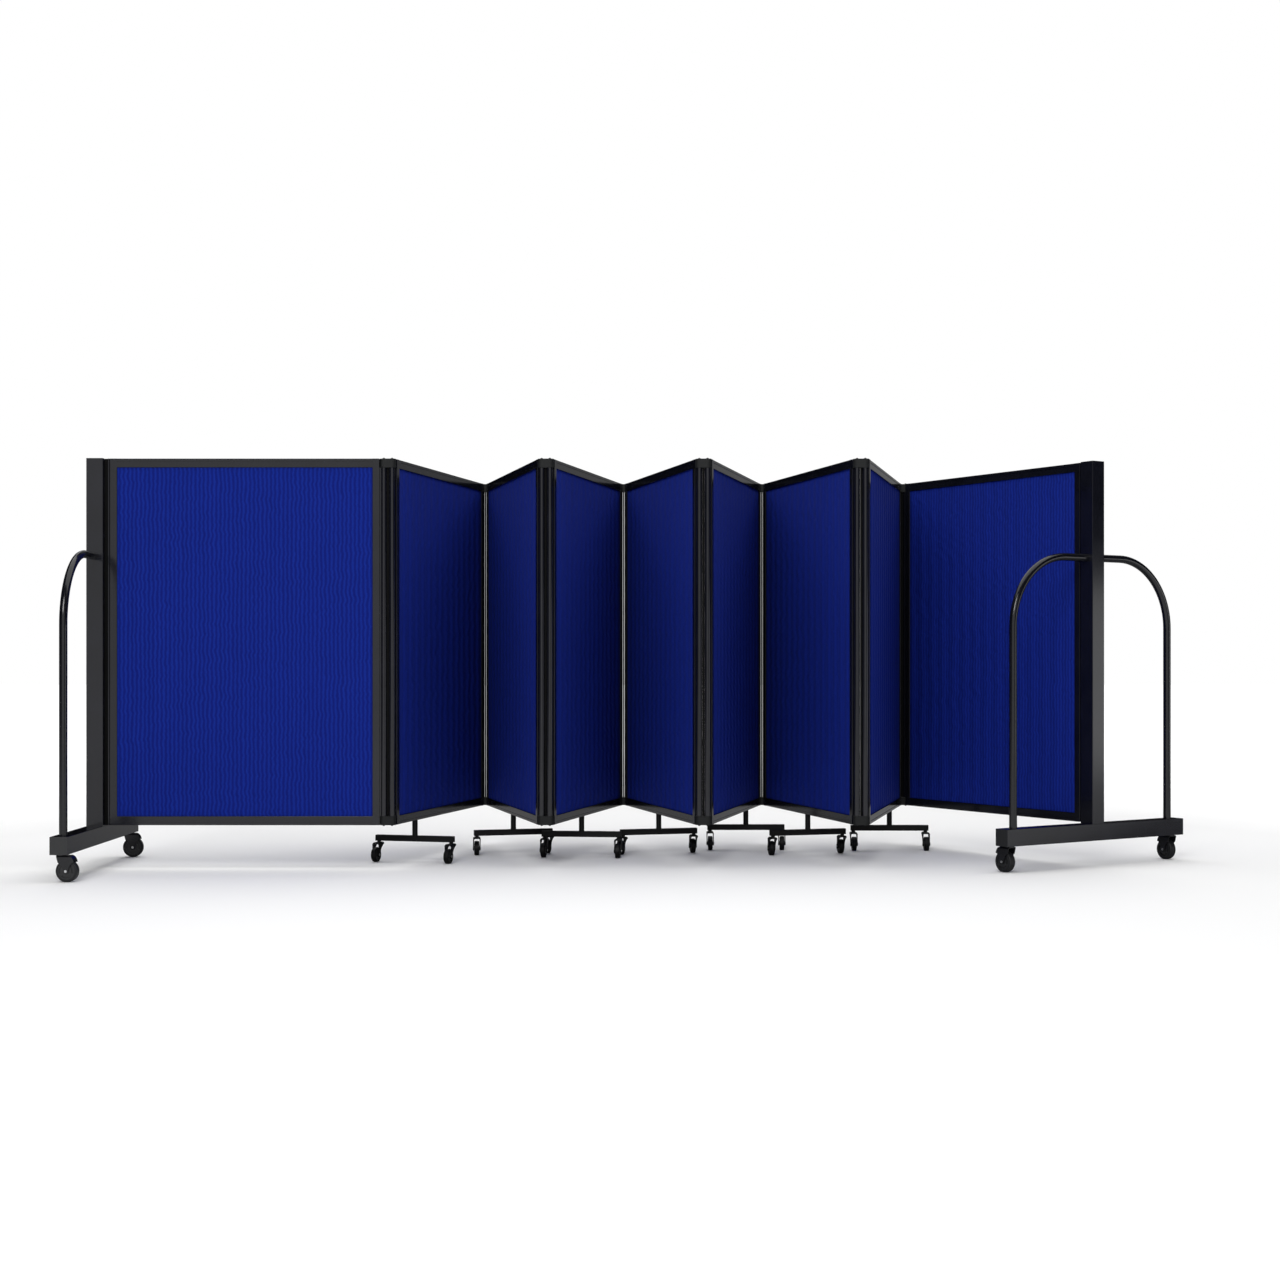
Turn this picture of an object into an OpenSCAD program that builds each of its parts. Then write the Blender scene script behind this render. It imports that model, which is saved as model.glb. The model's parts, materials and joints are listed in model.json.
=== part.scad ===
// Accordion folding partition: nine fabric panels in aluminium frames, joined by eight two-pin
// hinges, on an arched end frame at each end and a T-leg under each panel between them.
// Millimetres, +Z up. The floor is z = 0 and the origin is under the middle of the bounding box.
// The long direction of the partition is X, and the front (peak) hinges face -Y.

/* [Panels] */
// Height of the panels' top edge above the floor
panel_top = 1016; // [700:1:2400]
// Height of the panels' bottom edge above the floor
panel_bottom = 108.5; // [100:0.5:160]
// Width of the fabric that shows between the stiles
fabric_w = 632; // [400:1:1000]
// Thickness of the extruded frame
frame_t = 19; // [16:0.5:19.5]
// Depth of the top and bottom rails
rail_h = 22; // [18:0.5:40]
// Width of a stile's flat face
stile_face = 18; // [14:0.5:30]
// Width of the narrow lip along the outer stile of an end panel
end_lip = 3.5; // [2.5:0.1:6]
// Distance of the rail's shadow groove from its outer edge
rail_lip = 6.5; // [4:0.5:9]
// Width of the shadow grooves
groove_w = 1.5; // [1:0.1:3]
// Depth of the shadow grooves
groove_d = 1.2; // [0.5:0.1:2]
// Radius of the frame's outer edges
edge_r = 1; // [0.4:0.1:2]
// Thickness of the fabric-covered board
board_t = 12; // [8:0.5:14]
// How far the board's edge sits in the frame's channel
board_seat = 8; // [5:0.5:9]
// Gap around the board's edge in its channel
board_gap = 0.3; // [0.2:0.05:0.5]

/* [Layout] */
// Headings of the first and the last panel from left end to right end, in degrees from +X
end_headings = [0, -57.2];
// Distance along X from pin to pin of panels 2 to 8, which run to the back and to the front in turn
panel_pitch = [167.1, 183.3, 167.1, 183.3, 167.1, 183.3, 172.9];
// Heading of each hinge link, in degrees from +X
link_headings = [0, -6, -6, -6, -6, -6, -6, 0];

/* [Hinges] */
// Distance between the two pins of a hinge
pin_spacing = 20.5; // [20:0.1:30]
// Radius of the round bead along a stile's hinged edge
bead_r = 7.5; // [6:0.1:8]
// Thickness of the web between bead and stile
neck_t = 9; // [6:0.5:12]
// Corner radius of the link block, around each pin
link_r = 10; // [9:0.1:10.1]
// Height of the link blocks
link_h = 22; // [18:0.5:40]
// Gap between a link block and the frame it turns in
link_gap = 0.3; // [0.2:0.05:0.5]
// Radius of the hinge pins
pin_r = 2.4; // [2:0.1:3]
// Radial clearance of every shaft in its bore
shaft_clearance = 0.05; // [0.02:0.01:0.1]
// How far a pin reaches into the bead
pin_reach = 30; // [15:1:60]
// Depth of the rubber seal between the two beads of a hinge
seal_t = 3; // [2:0.5:6]
// Gap between each hinge's seal and its beads, wider where light shows past it
seal_gap = [0.3, 0.95, 0.3, 1.05, 0.3, 0.7, 0.3, 0.3];
// Radius of a pin's head
head_r = 2.9; // [2.6:0.1:4]
// Height of a pin's head
head_h = 2.6; // [1.5:0.1:3]

/* [End frames] */
// Side of the square end post
post_w = 41; // [35:0.5:60]
// Wall of the end post and base bar
tube_wall = 2; // [1.5:0.1:3]
// Thickness of the post's top cap and of the plugs in the base bar's ends
cap_t = 3; // [2:0.5:6]
// Gap between the end panel's lip and the end post
post_gap = 9; // [7:0.5:14]
// Thickness of the black strip that joins the end panel to its post
strip_t = 8; // [5:0.5:12]
// Gap between that strip and the panel's lip
strip_gap = 0.3; // [0.2:0.05:0.5]
// Length of the base bar
base_len = 620; // [500:1:760]
// Height of the base bar's underside above the floor
base_z = 65; // [60:0.5:90]
// Height of the base bar
base_h = 42; // [30:0.5:42]
// Radius of the arch tube
arch_tube_r = 9.5; // [8:0.1:12]
// Distance of each arch leg from the post
arch_half = 272; // [220:1:330]
// Height of the arch tube's centre at its top
arch_top = 774; // [500:1:900]
// Radius of the two bends of the arch, at the tube's centre
arch_bend = 175; // [120:1:200]
// How far the arch's ends go into the base bar and the post
arch_seat = 20; // [10:1:30]
// Distance of each end caster's stem from the post
end_stem_at = 284; // [200:1:300]

/* [End casters] */
// Radius of an end caster's wheel
end_wheel_r = 26; // [20:0.5:28]
// Width of an end caster's wheel
end_wheel_w = 19; // [14:0.5:24]
// Distance from an end caster's stem to its axle
end_trail = 14; // [10:0.5:24]
// Height of the bearing between an end caster's fork and its bar
end_neck_h = 2; // [1:0.5:4]
// Radius of that bearing
end_neck_r = 11; // [8:0.5:12]
// Thickness of an end fork's crown
end_crown_t = 3; // [2:0.5:5]
// How far an end fork reaches ahead of its stem
end_fork_front = 9.5; // [8:0.5:14]
// Radius of the hood over the back of an end caster's wheel
hood_r = 21.5; // [20:0.5:24]
// How far the hood's centre lies ahead of the axle
hood_ahead = 2; // [0:0.5:4]
// Height of the hood's centre above the axle
hood_up = 18; // [16:0.5:22]
// Height of the hood's lower edge above the axle
hood_low = 20; // [18:0.5:24]
// Turn of the end casters from square to their base bar: left front, left back, right front, right back
end_caster_turn = [-4, 6, 3, -3];

/* [T-legs] */
// Length of a T-leg's bar
leg_len = 211; // [180:1:240]
// Side of a T-leg's bar
leg_bar = 15; // [12:0.5:18]
// Height of the bar's underside above the floor
leg_z = 53.4; // [53.4:0.1:70]
// Radius of a T-leg's stem
leg_stem_r = 7; // [5:0.1:7.5]
// Depth of the stem's socket in the bottom rail
leg_seat = 12; // [8:0.5:13]
// Gap between the stem's top and the end of its socket
leg_end_gap = 0.3; // [0.2:0.05:0.5]
// Height of the weld that runs up the stem from the bar
weld_h = 4; // [2:0.5:6]
// Distance of each leg caster's stem from the T-leg's stem
leg_stem_at = 98; // [80:0.5:100]
// Distance of each T-leg from its panel's front pin, for panels 2 to 8
leg_at = [158, 346, 288, 364, 501, 346, 480];
// Turn of each T-leg's bar from square to its panel, for panels 2 to 8
leg_turn = [0, 0, 8, 0, 14, 0, 14];

/* [Leg casters] */
// Radius of a leg caster's wheel
leg_wheel_r = 19; // [15:0.5:20]
// Width of a leg caster's wheel
leg_wheel_w = 12.5; // [10:0.5:16]
// Distance from a leg caster's stem to its axle
leg_trail = 18; // [12:0.5:20]
// Height of the neck between a leg caster's fork and its bar
leg_neck_h = 3.5; // [2:0.5:6]
// Radius of that neck
leg_neck_r = 5; // [4.5:0.5:8]
// Thickness of a leg fork's crown
leg_crown_t = 4.5; // [3:0.5:6]
// How far a leg fork reaches ahead of its stem
leg_fork_front = 10; // [7:0.5:12]
// Direction in which each leg's left and right caster trail, from its bar, for panels 2 to 8
leg_caster_turn = [[-94, -94], [82, 96], [-90, -90], [96, 83], [-90, -92], [84, 84], [-90, -90]];

/* [Casters] */
// Radius of the threaded stems
stem_r = 4; // [3:0.1:5]
// How far a stem goes up into its bar
stem_reach = 10; // [6:0.5:12]
// Radius of the axles
axle_r = 3; // [2:0.1:4]
// Thickness of a fork's side plates
plate_t = 2.2; // [1.2:0.1:3]
// Radius of the round shoulders of a fork's crown
crown_r = 5; // [3:0.5:6]
// Gap between a wheel's hub and a side plate, and between a fork's neck and its bar
side_gap = 0.3; // [0.2:0.05:0.5]
// How far a wheel's hub stands out past its tread on each side
hub_proud = 1; // [0.5:0.1:2]
// Wall of a wheel's hub round the axle
hub_wall = 2.5; // [2:0.1:4]
// How far an axle's ends stand out past the side plates
axle_proud = 1; // [0.5:0.1:2]
// Radius of the round boss where a side plate holds the axle
boss_r = 6.5; // [5:0.5:8]
// Radius of the hollow curves along a side plate's front and back edges
fork_curve_r = 30; // [26:1:60]
// Number of pockets in each face of a wheel
pocket_count = 3; // [2:1:6]
// Angle of the rib between two pockets
rib_angle = 20; // [8:1:30]
// Depth of the pockets
pocket_depth = 3; // [1:0.5:4]
// Inner and outer radius of the pockets, as shares of the wheel's radius
pocket_span = [0.5, 0.69];
// Radius of the groove where the tyre meets the wheel's core, as a share of the wheel's radius
tyre_share = 0.8; // [0.75:0.01:0.85]
// Width and depth of that groove
tyre_groove = 0.8; // [0.4:0.1:1.2]
// Radius of the tread's round shoulders, as a share of the wheel's width
shoulder_share = 0.2; // [0.1:0.01:0.3]

/* [Hidden] */
$fn = 48;
// overlap that makes a cut pass a face
cut = 1;

frame_color = "#3b3c3e";
fabric_color = "#16258a";
leg_color = "#151515";
link_color = "#242626";
wheel_color = "#323438";

// Widths along a panel, from its pin to the fabric's edge and from pin to pin
edge_w = bead_r + groove_w + stile_face;
pin_span = fabric_w + 2 * edge_w;
// Width of an end panel's outer stile, and the reach from its pin to the post
end_edge_w = stile_face + groove_w + end_lip;
post_reach = edge_w + fabric_w + end_edge_w + post_gap;
panel_count = len(panel_pitch) + 2;

// Plan of the pins, from panel 1's right pin at [0, 0]
function along(angle) = [cos(angle), sin(angle)];
function heading(i) = i == 1 ? end_headings[0]
    : i == panel_count ? end_headings[1]
    : (i % 2 == 0 ? 1 : -1) * acos(panel_pitch[i - 2] / pin_span);
function right_pin(i) = i == 1 ? [0, 0] : left_pin(i) + pin_span * along(heading(i));
function left_pin(i) = i == 1 ? [-pin_span, 0]
    : right_pin(i - 1) + pin_spacing * along(link_headings[i - 2]);

// Centre of each end post, and the direction in which each base bar runs
left_post_at = [-(post_reach + post_w / 2), 0];
right_post_at = left_pin(panel_count) + (post_reach + post_w / 2) * along(heading(panel_count));
left_bar_heading = 90;
right_bar_heading = heading(panel_count) + 90;

// Bounding box in plan: base bar corners and the back edge of the farthest link
function bar_corner(at, angle, s, t) =
    at + s * base_len / 2 * along(angle) + t * post_w / 2 * along(angle - 90);
bar_corners = [for (s = [-1, 1], t = [-1, 1]) each [
    bar_corner(left_post_at, left_bar_heading, s, t),
    bar_corner(right_post_at, right_bar_heading, s, t)]];
back_edge = max([for (i = [2:panel_count]) max(left_pin(i).y, right_pin(i - 1).y)]) + link_r;
box_low = [min([for (c = bar_corners) c.x]), min([for (c = bar_corners) c.y])];
box_high = [max([for (c = bar_corners) c.x]), max(back_edge, max([for (c = bar_corners) c.y]))];
box_middle = (box_low + box_high) / 2;

// Foot of each T-leg's stem from its panel's left pin and in plan, and the direction of its bar
function leg_from_left(i) = i % 2 == 0 ? leg_at[i - 2] : pin_span - leg_at[i - 2];
function leg_place(i) = left_pin(i) + leg_from_left(i) * along(heading(i));
function leg_heading(i) = heading(i) - sign(heading(i)) * 90 + leg_turn[i - 2];

// ---------- small shapes ----------

module rounded(w, h, r) {
    square([w - 2 * r, h], center = true);
    square([w, h - 2 * r], center = true);
    for (x = [-1, 1], y = [-1, 1])
        translate([x * (w / 2 - r), y * (h / 2 - r)])
            circle(r);
}

// Puts a shape drawn at the floor's [0, 0] at a point of the plan, turned to a heading
module placed(at, angle) {
    translate([at.x - box_middle.x, at.y - box_middle.y, 0])
        rotate([0, 0, angle])
            children();
}

// ---------- panel frame ----------

// A hinged stile's section: the bead round x = 0, the groove and the flat face
module hinged_stile_section() {
    circle(bead_r);
    translate([0, -neck_t / 2])
        square([bead_r + groove_w + cut, neck_t]);
    translate([bead_r + groove_w + stile_face / 2, 0])
        rounded(stile_face, frame_t, edge_r);
}

// The outer stile of an end panel: flat face, groove and a narrow lip towards the post
module end_stile_section() {
    translate([stile_face / 2, 0])
        rounded(stile_face, frame_t, edge_r);
    translate([stile_face - cut, -neck_t / 2])
        square([groove_w + 2 * cut, neck_t]);
    translate([stile_face + groove_w + end_lip / 2, 0])
        rounded(end_lip, frame_t - 2 * groove_d, edge_r);
}

// A rail's section: x across the panel, y inwards from the rail's outer edge
module rail_section() {
    difference() {
        translate([0, rail_h / 2])
            rounded(frame_t, rail_h, edge_r);
        for (side = [-1, 1])
            translate([side * frame_t / 2, rail_lip + groove_w / 2])
                square([2 * groove_d, groove_w], center = true);
    }
}

// A stile, cut away square at both ends where the link blocks turn
module hinged_stile() {
    relief = link_r + link_gap;
    difference() {
        translate([0, 0, panel_bottom])
            linear_extrude(panel_top - panel_bottom)
                hinged_stile_section();
        for (z = [panel_bottom - cut, panel_top - link_h - link_gap])
            translate([-relief, -frame_t, z])
                cube([2 * relief, 2 * frame_t, link_h + link_gap + cut]);
        for (z = [panel_bottom, panel_top - link_h - pin_reach - link_gap])
            translate([0, 0, z])
                cylinder(r = pin_r + shaft_clearance, h = link_h + pin_reach + link_gap);
    }
}

module end_stile() {
    translate([0, 0, panel_bottom])
        linear_extrude(panel_top - panel_bottom)
            end_stile_section();
}

// Both rails, from the left fabric edge to the right one
module rails() {
    for (top = [0, 1])
        translate([0, 0, top * (panel_top + panel_bottom)])
            mirror([0, 0, top])
                translate([0, 0, panel_bottom])
                    rotate([90, 0, 90])
                        translate([0, 0, -cut])
                            linear_extrude(fabric_w + 2 * cut)
                                rail_section();
}

// The channel for the board, and the board itself, grown or shrunk by a gap
module board_space(gap) {
    size = [
        fabric_w + 2 * (board_seat + gap),
        board_t + 2 * gap,
        panel_top - panel_bottom - 2 * (rail_h - board_seat - gap)
    ];
    translate([-board_seat - gap, -size.y / 2, panel_bottom + rail_h - board_seat - gap])
        cube(size);
}

// A frame from its left fabric edge at x = 0, with a hinge or an end lip at each side
module frame(left_hinged, right_hinged, leg_x) {
    color(frame_color)
        difference() {
            union() {
                if (left_hinged)
                    translate([-edge_w, 0, 0])
                        hinged_stile();
                else
                    mirror([1, 0, 0])
                        end_stile();
                translate([fabric_w, 0, 0])
                    if (right_hinged)
                        translate([edge_w, 0, 0])
                            mirror([1, 0, 0])
                                hinged_stile();
                    else
                        end_stile();
                rails();
            }
            board_space(board_gap);
            if (leg_x > 0)
                translate([leg_x - edge_w, 0, panel_bottom - cut])
                    cylinder(r = leg_stem_r + shaft_clearance, h = leg_seat + cut);
        }
}

module board() {
    color(fabric_color)
        board_space(0);
}

// ---------- T-leg ----------

// A T-leg with its bar along X: square bar, round stem and the weld between them
module leg() {
    bar_top = leg_z + leg_bar;
    stem_top = panel_bottom + leg_seat - leg_end_gap;
    color(leg_color)
        difference() {
            union() {
                translate([-leg_len / 2, 0, leg_z + leg_bar / 2])
                    rotate([90, 0, 90])
                        linear_extrude(leg_len)
                            rounded(leg_bar, leg_bar, edge_r);
                translate([0, 0, bar_top - cut])
                    cylinder(r = leg_stem_r, h = stem_top - bar_top + cut);
                translate([0, 0, bar_top])
                    cylinder(r1 = (leg_bar + leg_stem_r) / 3, r2 = leg_stem_r, h = weld_h);
            }
            for (s = [-1, 1])
                translate([s * leg_stem_at, 0, leg_z - cut])
                    cylinder(r = stem_r + shaft_clearance, h = stem_reach + 2 * cut);
        }
}

module leg_of(i) {
    translate([leg_from_left(i), 0, 0])
        rotate([0, 0, leg_heading(i) - heading(i)])
            leg();
}

module middle_panel(i) {
    placed(left_pin(i), heading(i)) {
        translate([edge_w, 0, 0]) {
            frame(true, true, leg_from_left(i));
            board();
        }
        leg_of(i);
    }
}

// ---------- hinge link ----------

// One block of a hinge with its two pins hanging down and their heads on top
module link_block() {
    linear_extrude(link_h) {
        for (x = [-1, 1])
            translate([x * pin_spacing / 2, 0])
                circle(link_r);
        square([pin_spacing, 2 * link_r], center = true);
    }
    for (x = [-1, 1])
        translate([x * pin_spacing / 2, 0, 0]) {
            translate([0, 0, -pin_reach])
                cylinder(r = pin_r, h = pin_reach + cut);
            translate([0, 0, link_h])
                pin_head();
        }
}

// A low round-edged rivet head
module pin_head() {
    round_r = head_h / 2;
    rotate_extrude() {
        square([head_r, head_h - round_r]);
        square([head_r - round_r, head_h]);
        intersection() {
            translate([head_r - round_r, head_h - round_r])
                circle(round_r);
            square([head_r, head_h]);
        }
    }
}

// The strip between the beads from block to block, its sides hollow to follow them
module seal(gap) {
    seal_z = panel_bottom + link_h + link_gap;
    translate([0, 0, seal_z])
        linear_extrude(panel_top - link_h - link_gap - seal_z)
            difference() {
                square([pin_spacing - 2 * bead_r, seal_t], center = true);
                for (x = [-1, 1])
                    translate([x * pin_spacing / 2, 0])
                        circle(bead_r + gap);
            }
}

// The two blocks of a hinge, at the top and the bottom of the panels, and the seal between them
module hinge_link(i) {
    middle = (right_pin(i) + left_pin(i + 1)) / 2;
    placed(middle, link_headings[i - 1])
        color(link_color) {
            translate([0, 0, panel_top - link_h])
                link_block();
            translate([0, 0, panel_bottom + link_h])
                mirror([0, 0, 1])
                    link_block();
            seal(seal_gap[i - 1]);
        }
}

// ---------- end frames, drawn with the base bar along X and the panel on the -Y side ----------

// A square tube with a closed top that the arch passes through, and the strip to the end panel
module end_post() {
    post_z = base_z + base_h;
    color(frame_color) {
        translate([0, 0, post_z])
            difference() {
                linear_extrude(panel_top - post_z)
                    rounded(post_w, post_w, edge_r);
                translate([0, 0, -cut])
                    linear_extrude(panel_top - post_z - cap_t + cut)
                        square(post_w - 2 * tube_wall, center = true);
                translate([-post_w, 0, arch_top - post_z])
                    rotate([0, 90, 0])
                        cylinder(r = arch_tube_r + shaft_clearance, h = 2 * post_w);
            }
        translate([-strip_t / 2, strip_gap - post_w / 2 - post_gap, panel_bottom])
            cube([strip_t, post_gap + tube_wall / 2 - strip_gap, panel_top - panel_bottom]);
    }
}

// A hollow bar with plugged ends, and sockets inside for the arch's feet and the caster stems
module base_bar() {
    color(frame_color)
        translate([0, 0, base_z])
            difference() {
                union() {
                    difference() {
                        translate([-base_len / 2, 0, base_h / 2])
                            rotate([90, 0, 90])
                                linear_extrude(base_len)
                                    rounded(post_w, base_h, edge_r);
                        translate([0, 0, base_h / 2])
                            cube([base_len - 2 * cap_t, post_w - 2 * tube_wall, base_h - 2 * tube_wall],
                                center = true);
                    }
                    for (s = [-1, 1]) {
                        translate([s * arch_half, 0, base_h - arch_seat - tube_wall])
                            cylinder(r = arch_tube_r + tube_wall, h = arch_seat + tube_wall / 2);
                        translate([s * end_stem_at, 0, tube_wall / 2])
                            cylinder(r = stem_r + tube_wall, h = stem_reach + tube_wall);
                    }
                }
                for (s = [-1, 1]) {
                    translate([s * arch_half, 0, base_h - arch_seat])
                        cylinder(r = arch_tube_r + shaft_clearance, h = arch_seat + cut);
                    translate([s * end_stem_at, 0, -cut])
                        cylinder(r = stem_r + shaft_clearance, h = stem_reach + 2 * cut);
                }
            }
}

// One tube bent twice, its feet in the base bar and its top through the post
module arch() {
    leg_foot = base_z + base_h - arch_seat;
    color(frame_color)
        for (s = [-1, 1])
            mirror([s < 0 ? 1 : 0, 0, 0]) {
                translate([arch_half, 0, leg_foot])
                    cylinder(r = arch_tube_r, h = arch_top - arch_bend - leg_foot);
                translate([arch_half - arch_bend, 0, arch_top - arch_bend])
                    rotate([90, 0, 0])
                        rotate_extrude(angle = 90)
                            translate([arch_bend, 0])
                                circle(arch_tube_r);
                translate([-cut, 0, arch_top])
                    rotate([0, 90, 0])
                        cylinder(r = arch_tube_r, h = arch_half - arch_bend + cut);
            }
}

// ---------- casters, drawn with the stem on the Z axis and the wheel trailing along +X ----------

// Centre of the circle of radius r through two points, on the right hand from a to b
function arc_centre(a, b, r) =
    let (half = (b - a) / 2)
    a + half + sqrt(r * r - half * half) * [half.y, -half.x] / norm(half);

// Side of a fork, from points where its front and back edges turn down: the edges sweep in
// hollow curves to the axle's boss
module fork_side(wheel_r, trail, front_top, front_turn, back_top, back_turn) {
    blend = edge_r / 2;
    front_low = [trail - boss_r + blend, wheel_r];
    back_low = [trail + boss_r - blend, wheel_r];
    difference() {
        polygon([front_top, back_top, back_turn, back_low, front_low, front_turn]);
        translate(arc_centre(front_turn, front_low, fork_curve_r))
            circle(fork_curve_r);
        translate(arc_centre(back_low, back_turn, fork_curve_r))
            circle(fork_curve_r);
    }
    translate([trail, wheel_r])
        circle(boss_r);
}

// Front view of a fork: two plates under a crown with round shoulders
module fork_arch(inner, outer, top, crown_t) {
    difference() {
        arch_outline(outer, top, crown_r);
        translate([0, -cut])
            arch_outline(inner, top - crown_t + cut, crown_r - plate_t);
    }
}

// A bar standing on the X axis, with round shoulders
module arch_outline(half, top, r) {
    translate([-half, 0])
        square([2 * half, top - r]);
    translate([r - half, 0])
        square([2 * (half - r), top]);
    for (s = [-1, 1])
        translate([s * (half - r), top - r])
            circle(r);
}

function fork_inner(wheel_w) = wheel_w / 2 + hub_proud + side_gap;

// A fork with its neck, threaded stem and axle. Its side view is given as a child
module fork(wheel_r, wheel_w, trail, height, neck_h, neck_r, crown_t) {
    inner = fork_inner(wheel_w);
    outer = inner + plate_t;
    top = height - neck_h;
    intersection() {
        translate([-2 * wheel_r, 0, 0])
            rotate([90, 0, 90])
                linear_extrude(5 * wheel_r)
                    fork_arch(inner, outer, top, crown_t);
        translate([0, outer + cut, 0])
            rotate([90, 0, 0])
                linear_extrude(2 * (outer + cut))
                    children();
    }
    translate([0, 0, top - crown_t / 2])
        cylinder(r = neck_r, h = crown_t / 2 + neck_h - side_gap);
    translate([0, 0, top])
        cylinder(r = stem_r, h = neck_h + stem_reach - side_gap);
    translate([trail, outer + axle_proud, wheel_r])
        rotate([90, 0, 0])
            cylinder(r = axle_r, h = 2 * (outer + axle_proud));
}

// The side of an end fork, with a round hood over the back of the wheel
module hooded_side(top) {
    hood_at = [end_trail - hood_ahead, end_wheel_r + hood_up];
    low = end_wheel_r + hood_low;
    fork_side(end_wheel_r, end_trail,
        [-end_fork_front, top], [-end_fork_front / 2, low],
        [end_trail + end_wheel_r / 4, top], [end_trail + end_wheel_r * 2 / 3, low + edge_r]);
    intersection() {
        translate(hood_at)
            circle(hood_r);
        translate([hood_at.x, low])
            square([hood_r + cut, top - low]);
    }
}

// The hood's roof between the side plates, set in a little from their edge
module hood_roof(top) {
    hood_at = [end_trail - hood_ahead, end_wheel_r + hood_up];
    low = end_wheel_r + hood_low + edge_r / 2;
    half = fork_inner(end_wheel_w) + plate_t / 2;
    translate([0, half, 0])
        rotate([90, 0, 0])
            linear_extrude(2 * half)
                intersection() {
                    translate(hood_at)
                        difference() {
                            circle(hood_r - side_gap);
                            circle(hood_r - side_gap - plate_t);
                        }
                    translate([hood_at.x + cut, low])
                        square([hood_r, top - low - end_crown_t / 2]);
                }
}

// Half of a wheel's section, x out from the axle: hub, core and tyre with round shoulders
module wheel_section(wheel_r, wheel_w) {
    shoulder = shoulder_share * wheel_w;
    difference() {
        union() {
            translate([0, -wheel_w / 2 - hub_proud])
                square([axle_r + hub_wall, wheel_w + 2 * hub_proud]);
            translate([0, -wheel_w / 2])
                square([wheel_r - shoulder, wheel_w]);
            translate([0, -wheel_w / 2 + shoulder])
                square([wheel_r, wheel_w - 2 * shoulder]);
            for (s = [-1, 1])
                translate([wheel_r - shoulder, s * (wheel_w / 2 - shoulder)])
                    circle(shoulder);
        }
        translate([-cut, -wheel_w])
            square([axle_r + shaft_clearance + cut, 2 * wheel_w]);
        for (s = [-1, 1])
            translate([tyre_share * wheel_r, s * wheel_w / 2])
                square([tyre_groove, 2 * tyre_groove], center = true);
    }
}

// A wheel on its axle, with curved pockets in both faces
module wheel(wheel_r, wheel_w, trail) {
    pocket_angle = 360 / pocket_count - rib_angle;
    pocket_r = pocket_span * wheel_r;
    pocket_low = [-wheel_w / 2 - cut, wheel_w / 2 - pocket_depth];
    color(wheel_color)
        translate([trail, 0, wheel_r])
            rotate([90, 0, 0])
                difference() {
                    rotate_extrude()
                        wheel_section(wheel_r, wheel_w);
                    for (y = pocket_low, k = [0:pocket_count - 1])
                        rotate([0, 0, -90 - pocket_angle / 2 + k * 360 / pocket_count])
                            rotate_extrude(angle = pocket_angle)
                                translate([pocket_r[0], y])
                                    square([pocket_r[1] - pocket_r[0], pocket_depth + cut]);
                }
}

module end_caster_place(k) {
    left = k < 2;
    side = k % 2 == 0 ? -1 : 1;
    at = left ? left_post_at : right_post_at;
    angle = left ? left_bar_heading : right_bar_heading;
    inboard = left ? -90 : 90;
    placed(at + side * end_stem_at * along(angle), angle + inboard + end_caster_turn[k])
        children();
}

module leg_caster_place(i, right) {
    angle = leg_heading(i);
    side = right ? 1 : -1;
    placed(leg_place(i) + side * leg_stem_at * along(angle), angle + leg_caster_turn[i - 2][right ? 1 : 0])
        children();
}

module end_fork(k)
    end_caster_place(k)
        color(wheel_color) {
            fork(end_wheel_r, end_wheel_w, end_trail, base_z, end_neck_h, end_neck_r, end_crown_t)
                hooded_side(base_z - end_neck_h);
            hood_roof(base_z - end_neck_h);
        }

module end_wheel(k)
    end_caster_place(k)
        wheel(end_wheel_r, end_wheel_w, end_trail);

module leg_fork(i, right) {
    top = leg_z - leg_neck_h;
    leg_caster_place(i, right)
        color(wheel_color)
            fork(leg_wheel_r, leg_wheel_w, leg_trail, leg_z, leg_neck_h, leg_neck_r, leg_crown_t)
                fork_side(leg_wheel_r, leg_trail,
                    [-leg_fork_front, top], [-leg_fork_front, top - crown_r],
                    [leg_trail - plate_t, top], [leg_trail + plate_t, top - crown_r]);
}

module leg_wheel(i, right)
    leg_caster_place(i, right)
        wheel(leg_wheel_r, leg_wheel_w, leg_trail);

// ---------- the sub-parts ----------

module panel_1()
    placed(right_pin(1), heading(1))
        translate([-edge_w - fabric_w, 0, 0]) {
            frame(false, true, 0);
            board();
        }
module panel_2() middle_panel(2);
module panel_3() middle_panel(3);
module panel_4() middle_panel(4);
module panel_5() middle_panel(5);
module panel_6() middle_panel(6);
module panel_7() middle_panel(7);
module panel_8() middle_panel(8);
module panel_9()
    placed(left_pin(9), heading(9))
        translate([edge_w, 0, 0]) {
            frame(true, false, 0);
            board();
        }

module hinge_1_link() hinge_link(1);
module hinge_2_link() hinge_link(2);
module hinge_3_link() hinge_link(3);
module hinge_4_link() hinge_link(4);
module hinge_5_link() hinge_link(5);
module hinge_6_link() hinge_link(6);
module hinge_7_link() hinge_link(7);
module hinge_8_link() hinge_link(8);

module left_end_post() placed(left_post_at, left_bar_heading) end_post();
module left_base_bar() placed(left_post_at, left_bar_heading) base_bar();
module left_arch() placed(left_post_at, left_bar_heading) arch();
module right_end_post() placed(right_post_at, right_bar_heading + 180) end_post();
module right_base_bar() placed(right_post_at, right_bar_heading) base_bar();
module right_arch() placed(right_post_at, right_bar_heading) arch();

module left_front_fork() end_fork(0);
module left_front_wheel() end_wheel(0);
module left_back_fork() end_fork(1);
module left_back_wheel() end_wheel(1);
module right_front_fork() end_fork(2);
module right_front_wheel() end_wheel(2);
module right_back_fork() end_fork(3);
module right_back_wheel() end_wheel(3);

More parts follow.
